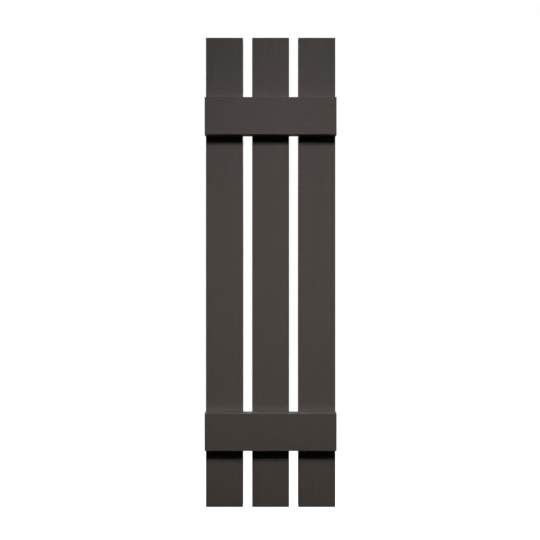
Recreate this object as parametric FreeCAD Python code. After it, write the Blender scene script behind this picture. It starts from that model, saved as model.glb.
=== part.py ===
import FreeCAD
import Part
import math
import os

# Open board and batten shutter, moulded in coloured copolymer, for fixing flat to a wall.
# Three boards stand side by side with open gaps between them, and two battens cross their faces.
# Boards and battens are thin mouldings, open at the back and stiffened by ribs. Screws driven from
# behind, through the boards into bosses in the battens, hold the two together.
# Millimetres. X runs across the shutter, Y points back to the wall and Z is up.
# The origin is on the wall plane, at the middle of the middle board.

Vector = FreeCAD.Vector

# Boards, measured round the rim at the back
board_length = 1092.2
board_width = 86.5
board_depth = 16.0
board_gap = 21.0
board_wall = 2.5
board_edge_radius = 0.8
board_names = ["left_board", "middle_board", "right_board"]

# Battens, measured round the rim at the back
batten_height = 86.5
batten_depth = 16.0
batten_overhang = 0.9
batten_wall = 2.5
batten_edge_radius = 0.8
top_batten_inset = 143.5
bottom_batten_inset = 136.4

# Draft, in degrees: walls and ribs lean by this much so that they leave the mould
draft_angle = 1.0

# Ribs inside the mouldings
rib_tip = 1.6
cross_rib_pitch = 95.0
cross_rib_setback = 3.0
batten_rib_setback = 1.0
batten_rib_inset = 8.0

# Screws: a pad and a clear hole in the board, a boss with a blind pilot hole in the batten
screw_spacing = 46.0
screw_hole_diameter = 4.5
screw_pad_diameter = 11.0
screw_pad_height = 2.0
boss_diameter = 8.5
pilot_diameter = 3.2
pilot_floor = 2.5

# Smallest distance that counts as one
tolerance = 0.001

# Places that follow from the sizes above
board_pitch = board_width + board_gap
first_board_x = -board_pitch * (len(board_names) - 1) / 2
board_centres = [first_board_x + index * board_pitch for index in range(len(board_names))]
shutter_width = board_pitch * (len(board_names) - 1) + board_width
batten_length = shutter_width + 2 * batten_overhang
batten_centres = {
    "top_batten": board_length / 2 - top_batten_inset - batten_height / 2,
    "bottom_batten": -board_length / 2 + bottom_batten_inset + batten_height / 2,
}
screw_offsets = [-screw_spacing / 2, screw_spacing / 2]


# How far a drafted side leans over a given depth.
def lean(depth):
    return depth * math.tan(math.radians(draft_angle))


# A block with its back on y = 0 and a smaller face on y = -depth, its four sides drafted.
def drafted_block(width, height, depth):
    back_x, back_z = width / 2, height / 2
    face_x, face_z = back_x - lean(depth), back_z - lean(depth)
    return Part.makeWedge(-face_x, -depth, -face_z, -back_z, -back_x, face_x, 0, face_z, back_z, back_x)


# An open-backed moulding with its rim on y = 0 and its face on y = -depth. The edges of its face are
# rounded, and its corners are crisp.
def tray(width, height, depth, wall, edge_radius):
    block = drafted_block(width, height, depth)
    back = [face for face in block.Faces if abs(face.CenterOfMass.y) < tolerance]
    shell = block.makeThickness(back, -wall, tolerance)
    face_edges = [
        edge for edge in shell.Edges
        if all(abs(vertex.Y + depth) < tolerance for vertex in edge.Vertexes)
    ]
    return shell.makeFillet(edge_radius, face_edges)


# A drafted rib from start to end, with its root at root_y inside the face and its tip at tip_y.
def rib(start, end, across, root_y, tip_y):
    tip_half = rib_tip / 2
    root_half = tip_half + lean(tip_y - root_y)
    corners = [
        start - across * root_half + Vector(0, root_y, 0),
        start + across * root_half + Vector(0, root_y, 0),
        start + across * tip_half + Vector(0, tip_y, 0),
        start - across * tip_half + Vector(0, tip_y, 0),
    ]
    section = Part.Face(Part.makePolygon(corners + corners[:1]))
    return section.extrude(end - start)


def upright_rib(x, half_length, root_y, tip_y):
    return rib(Vector(x, 0, -half_length), Vector(x, 0, half_length), Vector(1, 0, 0), root_y, tip_y)


def level_rib(z, half_length, root_y, tip_y):
    return rib(Vector(-half_length, 0, z), Vector(half_length, 0, z), Vector(0, 0, 1), root_y, tip_y)


# A round post or hole along Y.
def round_bar(diameter, x, z, front_y, back_y):
    return Part.makeCylinder(diameter / 2, back_y - front_y, Vector(x, front_y, z), Vector(0, 1, 0))


# Heights of a board's cross ribs: one behind each edge of each batten, and others evenly between those,
# never further apart than the pitch.
def cross_rib_heights():
    end = board_length / 2 - board_wall
    edge = batten_height / 2 - batten_wall / 2
    low, high = sorted(batten_centres.values())
    heights = [low - edge, low + edge, high - edge, high + edge]
    for bottom, top in [(-end, low - edge), (low + edge, high - edge), (high + edge, end)]:
        steps = math.ceil((top - bottom) / cross_rib_pitch)
        heights += [bottom + (top - bottom) * step / steps for step in range(1, steps)]
    return sorted(heights)


# One board, centred on x = 0: the moulding with a spine, cross ribs and a pad round each screw hole.
def make_board():
    root_y = -board_depth + board_wall / 2
    pad_y = -board_depth + board_wall + screw_pad_height
    half_width = board_width / 2 - board_wall / 2
    half_length = board_length / 2 - board_wall / 2
    screws = [(x, z) for z in batten_centres.values() for x in screw_offsets]
    inside = [upright_rib(0, half_length, root_y, 0)]
    inside += [level_rib(z, half_width, root_y, -cross_rib_setback) for z in cross_rib_heights()]
    inside += [round_bar(screw_pad_diameter, x, z, root_y, pad_y) for x, z in screws]
    holes = [round_bar(screw_hole_diameter, x, z, -board_depth, pad_y) for x, z in screws]
    moulding = tray(board_width, board_length, board_depth, board_wall, board_edge_radius)
    return moulding.fuse(inside).cut(holes).removeSplitter()


# One batten, centred on z = 0 with its rim on y = 0: ribs at the boards' edges and a row of screw bosses.
def make_batten():
    face_y = -batten_depth + batten_wall
    root_y = -batten_depth + batten_wall / 2
    half_length = batten_length / 2 - batten_wall / 2
    half_height = batten_height / 2 - batten_wall / 2
    rib_offset = board_width / 2 - batten_rib_inset
    screws = [centre + offset for centre in board_centres for offset in screw_offsets]
    uprights = [centre + side * rib_offset for centre in board_centres for side in (-1, 1)]
    inside = [level_rib(0, half_length, root_y, -batten_rib_setback)]
    inside += [upright_rib(x, half_height, root_y, -batten_rib_setback) for x in uprights]
    inside += [round_bar(boss_diameter, x, 0, root_y, 0) for x in screws]
    pilots = [round_bar(pilot_diameter, x, 0, face_y + pilot_floor, 0) for x in screws]
    moulding = tray(batten_length, batten_height, batten_depth, batten_wall, batten_edge_radius)
    return moulding.fuse(inside).cut(pilots).removeSplitter()


def export(shape, name):
    shape.exportStep(os.path.join("parts", name + ".step"))
    print(name, "solids", len(shape.Solids), "valid", shape.isValid(), "mm3", round(shape.Volume))


os.makedirs("parts", exist_ok=True)

board = make_board()
for name, centre_x in zip(board_names, board_centres):
    export(board.translated(Vector(centre_x, 0, 0)), name)

batten = make_batten()
for name, centre_z in batten_centres.items():
    export(batten.translated(Vector(0, -board_depth, centre_z)), name)
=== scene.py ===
import math

import bmesh
import bpy
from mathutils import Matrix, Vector


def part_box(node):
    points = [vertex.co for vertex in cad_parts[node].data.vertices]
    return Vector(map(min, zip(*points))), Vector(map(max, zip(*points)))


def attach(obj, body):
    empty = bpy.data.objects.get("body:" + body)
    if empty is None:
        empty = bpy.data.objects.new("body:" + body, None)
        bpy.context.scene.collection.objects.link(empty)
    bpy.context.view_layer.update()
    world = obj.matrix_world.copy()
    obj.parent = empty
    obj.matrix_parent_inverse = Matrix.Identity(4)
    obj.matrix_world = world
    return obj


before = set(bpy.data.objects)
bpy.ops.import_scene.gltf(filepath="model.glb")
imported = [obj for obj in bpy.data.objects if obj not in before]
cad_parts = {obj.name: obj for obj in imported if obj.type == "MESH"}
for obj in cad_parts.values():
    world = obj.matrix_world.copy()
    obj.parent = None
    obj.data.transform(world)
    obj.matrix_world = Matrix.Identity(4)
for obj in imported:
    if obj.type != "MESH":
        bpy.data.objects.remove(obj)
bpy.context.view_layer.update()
mm = 0.001
boardNames = ["left_board", "middle_board", "right_board"]
battenNames = ["top_batten", "bottom_batten"]
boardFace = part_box("middle_board")[0].y  # fronts are towards -Y, the wall is at y = 0
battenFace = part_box("top_batten")[0].y
mixA, mixB, mixOut = 6, 7, 2  # a Mix node's sockets for colours
floatA, floatB, floatOut = 2, 3, 0  # and for plain numbers
print("frame loaded:", ", ".join(sorted(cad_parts)))


def hexToLinear(text):
    # sRGB hex to the linear values that colour sockets take
    parts = [int(text[i:i + 2], 16) / 255 for i in (1, 3, 5)]
    linear = [p / 12.92 if p <= 0.04045 else ((p + 0.055) / 1.055) ** 2.4 for p in parts]
    return (*linear, 1.0)


def addNode(tree, kind, settings=None, inputs=None):
    # one node; an input is a plain value or another node's output
    node = tree.nodes.new(kind)
    for name, value in (settings or {}).items():
        setattr(node, name, value)
    for name, value in (inputs or {}).items():
        if isinstance(value, bpy.types.NodeSocket):
            tree.links.new(value, node.inputs[name])
        else:
            node.inputs[name].default_value = value
    return node


def newTree(name):
    material = bpy.data.materials.new(name)
    material.use_nodes = True
    material.node_tree.nodes.clear()
    return material, material.node_tree


def addMesh(name, bm):
    mesh = bpy.data.meshes.new(name)
    bm.to_mesh(mesh)
    bm.free()
    piece = bpy.data.objects.new(name, mesh)
    bpy.context.scene.collection.objects.link(piece)
    return piece


# Moulded polypropylene copolymer, coloured right through: a flat, slightly soft sheen, with a
# shallow wood grain in the mould's face and a plain fine spark finish on the sides and inside
copolymer = {
    "colour": "#48423f",  # dark warm grey, on the grained face
    "paleColour": "#4a443f",  # where the melt ran slower
    "smoothShadedColour": "#3a3532",  # the smooth sides and inside scatter less and look deeper, and this tone is also painted darker as shade, which holds down the lit tops of the battens
    "smoothShadedPaleColour": "#423c39",  # soft flow marks there, on the same partly painted shade
    "ior": 1.49, "specular": 0.2,
    "faceRoughness": 0.65,
    "insideRoughness": 0.73, "insideUneven": 0.09,  # a satin that is duller where the melt ran slower
    "faceCoreMm": 0.5, "faceLayerMm": 1.5,  # the grain fades out between these depths, round the edge
    "markNoise": (0.36, 0.64),  # flow noise from plain to a full mark
    "poreNoise": (0.36, 0.48),  # pore noise from a full pore to plain
    "poreShade": 0.07,  # painted shade: how much darker a pore is painted, for the light that it swallows
    "ringDepthMm": 0.09, "poreDepthMm": 0.09, "gritDepthMm": 0.09,
}

# The copolymer's patterns, by their size across and along the grain
patterns = {
    "flow": {"acrossMm": 14, "alongMm": 260, "detail": 3.0, "rough": 0.55, "swirl": 0.0},
    "rings": {"acrossMm": 9, "alongMm": 330, "detail": 2.0, "rough": 0.5, "swirl": 0.6},
    "pores": {"acrossMm": 1.5, "alongMm": 45, "detail": 1.0, "rough": 0.5, "swirl": 0.0},
    # real grit is about 0.1 mm, drawn coarser so that it shows
    "grit": {"acrossMm": 0.7, "alongMm": 0.7, "detail": 2.0, "rough": 0.5, "swirl": 0.0},
}


def stretch(pattern, grainAlong):
    # pattern repeats in a metre: fine across the grain, long along it
    across, along = 1 / (pattern["acrossMm"] * mm), 1 / (pattern["alongMm"] * mm)
    return tuple(along if axis == grainAlong else across for axis in "XYZ")


def makeCopolymer(name, faceY, grainAlong):
    c = copolymer
    material, tree = newTree(name)
    place = addNode(tree, "ShaderNodeTexCoord").outputs["Object"]

    # 1 on the front face, 0 on the sides and inside
    depth = addNode(tree, "ShaderNodeSeparateXYZ", {}, {"Vector": place}).outputs["Y"]
    onFace = addNode(tree, "ShaderNodeMapRange", {"interpolation_type": "SMOOTHSTEP"}, {
        "Value": depth, "From Min": faceY + c["faceLayerMm"] * mm,
        "From Max": faceY + c["faceCoreMm"] * mm}).outputs["Result"]
    offFace = addNode(tree, "ShaderNodeMath", {"operation": "SUBTRACT"}, {0: 1.0, 1: onFace}).outputs[0]

    noise = {}
    for key, pattern in patterns.items():
        scaled = addNode(tree, "ShaderNodeMapping", {}, {
            "Vector": place, "Scale": stretch(pattern, grainAlong)}).outputs[0]
        noise[key] = addNode(tree, "ShaderNodeTexNoise", {}, {
            "Vector": scaled, "Scale": 1.0, "Detail": pattern["detail"], "Roughness": pattern["rough"],
            "Distortion": pattern["swirl"]}).outputs["Fac"]
    marks = addNode(tree, "ShaderNodeMapRange", {"interpolation_type": "SMOOTHSTEP"}, {
        "Value": noise["flow"], "From Min": c["markNoise"][0],
        "From Max": c["markNoise"][1]}).outputs["Result"]
    pores = addNode(tree, "ShaderNodeMapRange", {"interpolation_type": "SMOOTHSTEP"}, {
        "Value": noise["pores"], "From Min": c["poreNoise"][0],
        "From Max": c["poreNoise"][1]}).outputs["Result"]

    # colour: pale streaks and pores with painted shade on the face, soft flow marks elsewhere on a tone
    # that is partly painted shade
    streaked = addNode(tree, "ShaderNodeMix", {"data_type": "RGBA"}, {
        "Factor": noise["flow"], mixA: hexToLinear(c["colour"]),
        mixB: hexToLinear(c["paleColour"])}).outputs[mixOut]
    # painted shade in the pores, for the light that they swallow
    poreShadeTone = addNode(tree, "ShaderNodeMapRange", {}, {
        "Value": pores, "To Min": 1 - c["poreShade"], "To Max": 1.0}).outputs["Result"]
    grained = addNode(tree, "ShaderNodeVectorMath", {"operation": "SCALE"}, {
        0: streaked, "Scale": poreShadeTone}).outputs[0]
    # off the face: the smooth finish's deeper tone, partly painted shade
    smooth = addNode(tree, "ShaderNodeMix", {"data_type": "RGBA"}, {
        "Factor": marks, mixA: hexToLinear(c["smoothShadedColour"]),
        mixB: hexToLinear(c["smoothShadedPaleColour"])}).outputs[mixOut]
    colour = addNode(tree, "ShaderNodeMix", {"data_type": "RGBA"}, {
        "Factor": onFace, mixA: smooth, mixB: grained}).outputs[mixOut]

    satin = addNode(tree, "ShaderNodeMapRange", {}, {
        "Value": marks, "To Min": c["insideRoughness"] - c["insideUneven"],
        "To Max": c["insideRoughness"] + c["insideUneven"]}).outputs["Result"]
    roughness = addNode(tree, "ShaderNodeMix", {}, {
        "Factor": onFace, floatA: satin, floatB: c["faceRoughness"]}).outputs[floatOut]

    # grit off the face, then rings and pores on it
    gritty = addNode(tree, "ShaderNodeBump", {}, {
        "Strength": offFace, "Distance": c["gritDepthMm"] * mm, "Height": noise["grit"]}).outputs["Normal"]
    ringed = addNode(tree, "ShaderNodeBump", {}, {
        "Strength": onFace, "Distance": c["ringDepthMm"] * mm, "Height": noise["rings"],
        "Normal": gritty}).outputs["Normal"]
    pored = addNode(tree, "ShaderNodeBump", {}, {
        "Strength": onFace, "Distance": c["poreDepthMm"] * mm, "Height": pores,
        "Normal": ringed}).outputs["Normal"]

    shader = addNode(tree, "ShaderNodeBsdfPrincipled", {}, {
        "Base Color": colour, "Roughness": roughness, "Normal": pored,
        "IOR": c["ior"], "Specular IOR Level": c["specular"]})
    addNode(tree, "ShaderNodeOutputMaterial", {}, {"Surface": shader.outputs["BSDF"]})
    return material


for names, faceY, grainAlong in ((boardNames, boardFace, "Z"), (battenNames, battenFace, "X")):
    plastic = makeCopolymer("moulded_copolymer_grain_" + grainAlong.lower(), faceY, grainAlong)
    for name in names:
        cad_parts[name].data.materials[0] = plastic
print("boards and battens in moulded copolymer")


# Bright zinc plating on drawn steel: a cool, slightly cloudy metal shine
zincPlate = {
    "colour": "#8e9194",
    "cloudColour": "#7a7b79",
    "cloudMm": 2.5, "cloudDetail": 2.0,
    "brightRoughness": 0.33, "cloudRoughness": 0.43,
}


def makeZinc():
    z = zincPlate
    material, tree = newTree("zinc_plated_steel")
    place = addNode(tree, "ShaderNodeTexCoord").outputs["Object"]
    cloud = addNode(tree, "ShaderNodeTexNoise", {}, {
        "Vector": place, "Scale": 1 / (z["cloudMm"] * mm), "Detail": z["cloudDetail"]}).outputs["Fac"]
    colour = addNode(tree, "ShaderNodeMix", {"data_type": "RGBA"}, {
        "Factor": cloud, mixA: hexToLinear(z["colour"]),
        mixB: hexToLinear(z["cloudColour"])}).outputs[mixOut]
    roughness = addNode(tree, "ShaderNodeMapRange", {}, {
        "Value": cloud, "To Min": z["brightRoughness"], "To Max": z["cloudRoughness"]}).outputs["Result"]
    shader = addNode(tree, "ShaderNodeBsdfPrincipled", {}, {
        "Base Color": colour, "Metallic": 1.0, "Roughness": roughness})
    addNode(tree, "ShaderNodeOutputMaterial", {}, {"Surface": shader.outputs["BSDF"]})
    return material


# Pan-head screws, driven from behind through each board into the battens
screw = {
    "spacingMm": 46,  # across one board
    "seatMm": 4.5,  # the pad's top, behind the board's face
    "headMm": 8.2, "headHeightMm": 2.7, "rimMm": 0.3,
    "crownMm": 1.1, "crownSteps": 6,  # the domed top of the head, a quarter of an ellipse
    "shankMm": 3.9, "shankLengthMm": 4.2,
    "threadMm": 3.9, "coreMm": 2.9, "pitchMm": 1.4, "turns": 6, "pointMm": 2.2,
    "rootAt": 0.3, "crestAt": 0.75,  # where the root and crest lie in each turn
    "recessMm": 4.6, "slotMm": 0.95, "recessDepthMm": 1.7, "recessTaper": 0.55,
    "weldMm": 0.001,
    "steps": 32, "sharpDeg": 35,  # edges turned by more than this stay crisp
}


def screwProfile():
    # half a section from the crown's middle to the point: radius, then height above the seat
    s = screw
    head, high = s["headMm"] / 2, s["headHeightMm"]
    shank, core, thread = s["shankMm"] / 2, s["coreMm"] / 2, s["threadMm"] / 2
    line = []
    for step in range(s["crownSteps"]):
        angle = math.pi / 2 * step / s["crownSteps"]
        line.append((head * math.sin(angle), high - s["crownMm"] * (1 - math.cos(angle))))
    line += [(head, high - s["crownMm"]), (head, s["rimMm"]), (head - s["rimMm"], 0.0)]
    line += [(shank, 0.0), (shank, -s["shankLengthMm"])]
    for turn in range(s["turns"]):
        low = -s["shankLengthMm"] - turn * s["pitchMm"]
        line += [(core, low - s["rootAt"] * s["pitchMm"]), (thread, low - s["crestAt"] * s["pitchMm"])]
    tip = -s["shankLengthMm"] - s["turns"] * s["pitchMm"]
    return line + [(core, tip), (0.0, tip - s["pointMm"])]


def cutRecess(bm):
    # a cross cut into the crown: split the crown along the cross, then push its faces in
    s = screw
    high = s["headHeightMm"] - s["crownMm"]
    arm, half = s["recessMm"] / 2, s["slotMm"] / 2
    for side in (Vector((1, 0, 0)), Vector((0, 0, 1))):
        for reach in (-arm, -half, half, arm):
            faces = [f for f in bm.faces if f.calc_center_median().y > high]
            edges = list(dict.fromkeys(e for f in faces for e in f.edges))
            verts = list(dict.fromkeys(v for f in faces for v in f.verts))
            bmesh.ops.bisect_plane(bm, geom=verts + edges + faces, dist=s["weldMm"],
                                   plane_co=side * reach, plane_no=side)
    cross = []
    for face in bm.faces:
        middle = face.calc_center_median()
        near, far = sorted((abs(middle.x), abs(middle.z)))
        if middle.y > high and near < half and far < arm:
            cross.append(face)
    pushed = bmesh.ops.extrude_face_region(bm, geom=cross)["geom"]
    bmesh.ops.delete(bm, geom=[f for f in cross if f.is_valid], context="FACES_ONLY")
    bottom = [v for v in pushed if isinstance(v, bmesh.types.BMVert)]
    bmesh.ops.scale(bm, verts=bottom, vec=(s["recessTaper"], 1, s["recessTaper"]))
    bmesh.ops.translate(bm, verts=bottom, vec=(0, -s["recessDepthMm"], 0))


def makeScrew():
    # one screw with its seat at the origin and its head towards +Y
    s = screw
    bm = bmesh.new()
    line = [bm.verts.new((radius, height, 0)) for radius, height in screwProfile()]
    edges = [bm.edges.new(pair) for pair in zip(line, line[1:])]
    bmesh.ops.spin(bm, geom=line + edges, cent=(0, 0, 0), axis=(0, 1, 0), angle=math.tau,
                   steps=s["steps"], use_merge=True)
    bmesh.ops.remove_doubles(bm, verts=bm.verts, dist=s["weldMm"])
    cutRecess(bm)
    bmesh.ops.recalc_face_normals(bm, faces=bm.faces)
    bmesh.ops.scale(bm, verts=bm.verts, vec=(mm, mm, mm))
    for face in bm.faces:
        face.smooth = True
    mesh = bpy.data.meshes.new("screw")
    bm.to_mesh(mesh)
    bm.free()
    return mesh


def driveScrews(batten, oneScrew, plating):
    # two screws for each board, in a row behind the batten's middle
    s = screw
    low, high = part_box(batten)
    bm = bmesh.new()
    for board in boardNames:
        left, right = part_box(board)
        for offset in (-s["spacingMm"] / 2, s["spacingMm"] / 2):
            start = len(bm.verts)
            bm.from_mesh(oneScrew)
            bm.verts.ensure_lookup_table()
            x = (left.x + right.x) / 2 + offset * mm
            seat = (x, boardFace + s["seatMm"] * mm, (low.z + high.z) / 2)
            bmesh.ops.translate(bm, verts=bm.verts[start:], vec=seat)
    piece = addMesh(batten + "_screws", bm)
    piece.data.set_sharp_from_angle(angle=math.radians(s["sharpDeg"]))
    piece.data.materials.append(plating)
    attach(piece, "root")


zinc = makeZinc()
oneScrew = makeScrew()
for batten in battenNames:
    driveScrews(batten, oneScrew, zinc)
bpy.data.meshes.remove(oneScrew)
print("batten screws driven from behind")


# Camera: square on to the face, a little over a metre away
camera = {
    "lensMm": 31.885,
    "sensorMm": 36.0,
    "distance": 1.112,  # from the boards' face
    "right": -0.0014,
    "up": 0.0056,
}


def makeCamera():
    data = bpy.data.cameras.new("camera")
    data.sensor_width = camera["sensorMm"]
    data.lens = camera["lensMm"]
    lens = bpy.data.objects.new("camera", data)
    lens.location = (camera["right"], boardFace - camera["distance"], camera["up"])
    lens.rotation_euler = (math.radians(90), 0, 0)
    bpy.context.scene.collection.objects.link(lens)
    bpy.context.scene.camera = lens


makeCamera()
print("camera set")


# A white surround that shows white and lights almost nothing
surround = {
    "colour": "#ffffff",
    "light": 0.03,
}


def shownToRays(tree):
    # 1 for rays that show the background itself: to the camera, in gloss and through glass
    path = addNode(tree, "ShaderNodeLightPath").outputs
    seen = addNode(tree, "ShaderNodeMath", {"operation": "MAXIMUM"}, {
        0: path["Is Camera Ray"], 1: path["Is Glossy Ray"]}).outputs[0]
    return addNode(tree, "ShaderNodeMath", {"operation": "MAXIMUM"}, {
        0: seen, 1: path["Is Transmission Ray"]}).outputs[0]


def makeSurround():
    world = bpy.data.worlds.new("white_surround")
    world.use_nodes = True
    tree = world.node_tree
    tree.nodes.clear()
    white = hexToLinear(surround["colour"])
    light = addNode(tree, "ShaderNodeBackground", {}, {"Color": white, "Strength": surround["light"]})
    shown = addNode(tree, "ShaderNodeBackground", {}, {"Color": white, "Strength": 1.0})
    both = addNode(tree, "ShaderNodeMixShader", {}, {
        0: shownToRays(tree), 1: light.outputs[0], 2: shown.outputs[0]})
    addNode(tree, "ShaderNodeOutputWorld", {}, {"Surface": both.outputs[0]})
    bpy.context.scene.world = world


# A pale floor far below, whose shade fades into the white surround
paleFloor = {
    "colour": "#d8d8d6",
    "drop": 1.30,  # below the shutter's middle
    "half": 6.0,
    "near": 0.9, "far": 1.4,  # the shade fades to white between these radii
    "glow": 0.8,  # how white it shows near the middle
}


def makeFloor():
    f = paleFloor
    bm = bmesh.new()
    bmesh.ops.create_grid(bm, x_segments=1, y_segments=1, size=f["half"])
    bmesh.ops.translate(bm, verts=bm.verts, vec=(0, 0, -f["drop"]))
    floor = addMesh("floor", bm)
    material, tree = newTree("pale_floor_paint")
    place = addNode(tree, "ShaderNodeTexCoord").outputs["Object"]
    flat = addNode(tree, "ShaderNodeVectorMath", {"operation": "MULTIPLY"}, {
        0: place, 1: (1, 1, 0)}).outputs[0]
    radius = addNode(tree, "ShaderNodeVectorMath", {"operation": "LENGTH"}, {0: flat}).outputs["Value"]
    glow = addNode(tree, "ShaderNodeMapRange", {"interpolation_type": "SMOOTHSTEP"}, {
        "Value": radius, "From Min": f["near"], "From Max": f["far"],
        "To Min": f["glow"], "To Max": 1.0}).outputs["Result"]
    strength = addNode(tree, "ShaderNodeMath", {"operation": "MULTIPLY"}, {
        0: glow, 1: shownToRays(tree)}).outputs[0]
    paint = addNode(tree, "ShaderNodeBsdfDiffuse", {}, {"Color": hexToLinear(f["colour"])})
    lit = addNode(tree, "ShaderNodeEmission", {}, {
        "Color": hexToLinear(surround["colour"]), "Strength": strength})
    both = addNode(tree, "ShaderNodeAddShader", {}, {0: paint.outputs[0], 1: lit.outputs[0]})
    addNode(tree, "ShaderNodeOutputMaterial", {}, {"Surface": both.outputs[0]})
    floor.data.materials.append(material)


# A dark sheet folded round the camera, below, behind and above, that the camera doesn't see and
# that stops no lamp: it only keeps the white surround out of the front's sheen
darkCard = {
    "colour": "#050505",
    "near": -0.10, "back": -1.6,
    "low": -1.29, "high": 1.75,
    "wide": 4.0,
}


def makeCard():
    c = darkCard
    bm = bmesh.new()
    fold = [(c["near"], c["low"]), (c["back"], c["low"]), (c["back"], c["high"]), (c["near"], c["high"])]
    line = [bm.verts.new((-c["wide"] / 2, y, z)) for y, z in fold]
    edges = [bm.edges.new(pair) for pair in zip(line, line[1:])]
    swept = bmesh.ops.extrude_edge_only(bm, edges=edges)["geom"]
    moved = [v for v in swept if isinstance(v, bmesh.types.BMVert)]
    bmesh.ops.translate(bm, verts=moved, vec=(c["wide"], 0, 0))
    card = addMesh("dark_card", bm)
    material, tree = newTree("black_card")
    paper = addNode(tree, "ShaderNodeBsdfDiffuse", {}, {"Color": hexToLinear(c["colour"])})
    addNode(tree, "ShaderNodeOutputMaterial", {}, {"Surface": paper.outputs[0]})
    card.data.materials.append(material)
    card.visible_camera = False
    card.visible_shadow = False


makeSurround()
makeFloor()
makeCard()
print("surround, floor and card set")


# Lamps: a gridded softbox overhead in front, a tighter strip beside it that carries the light down
# to the lower boards, and broad softboxes behind and at the sides, set back from the front's plane
lamps = {
    "overhead": {"place": (0.08, -1.076, 1.45), "leanDeg": 31.1, "wide": 0.60, "deep": 0.455,
                 "spreadDeg": 62, "watts": 4.06},
    "overheadStrip": {"place": (0.03, -1.076, 1.45), "leanDeg": 31.8, "wide": 1.20, "deep": 0.455,
                      "spreadDeg": 20.3, "watts": 1.37},
    "behind": {"place": (0.0, 1.70, 1.10), "leanDeg": -57, "wide": 2.4, "deep": 1.2,
               "spreadDeg": 180, "watts": 48},
    "rightSide": {"place": (1.60, 0.45, 0.30), "leanDeg": 83, "turnDeg": 100, "wide": 0.9, "deep": 1.6,
                  "spreadDeg": 60, "watts": 4.0},
    "leftSide": {"place": (-1.60, 0.45, 0.30), "leanDeg": 83, "turnDeg": -100, "wide": 0.9, "deep": 1.6,
                 "spreadDeg": 60, "watts": 4.0},
}

# The soft light that the battens' tops throw up onto the boards
ledge = {
    "liftMm": 1,
    "watts": 0.0105,
}
for batten in battenNames:
    low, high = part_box(batten)
    middle = (0.0, (boardFace + battenFace) / 2, high.z + ledge["liftMm"] * mm)
    lamps[batten + "Ledge"] = {"place": middle, "leanDeg": 180, "wide": high.x - low.x,
                               "deep": boardFace - battenFace, "spreadDeg": 180, "watts": ledge["watts"]}


def makeLamp(name, lamp):
    data = bpy.data.lights.new(name, "AREA")
    data.shape = "RECTANGLE"
    data.size, data.size_y = lamp["wide"], lamp["deep"]
    data.spread = math.radians(lamp["spreadDeg"])
    data.energy = lamp["watts"]
    light = bpy.data.objects.new(name, data)
    light.location = lamp["place"]
    # leant from straight down, then turned about the upright
    light.rotation_euler = (math.radians(lamp["leanDeg"]), 0, math.radians(lamp.get("turnDeg", 0)))
    light.visible_camera = False
    bpy.context.scene.collection.objects.link(light)


for name, lamp in lamps.items():
    makeLamp(name, lamp)
bpy.context.scene.view_settings.view_transform = "Standard"
print("lamps set")
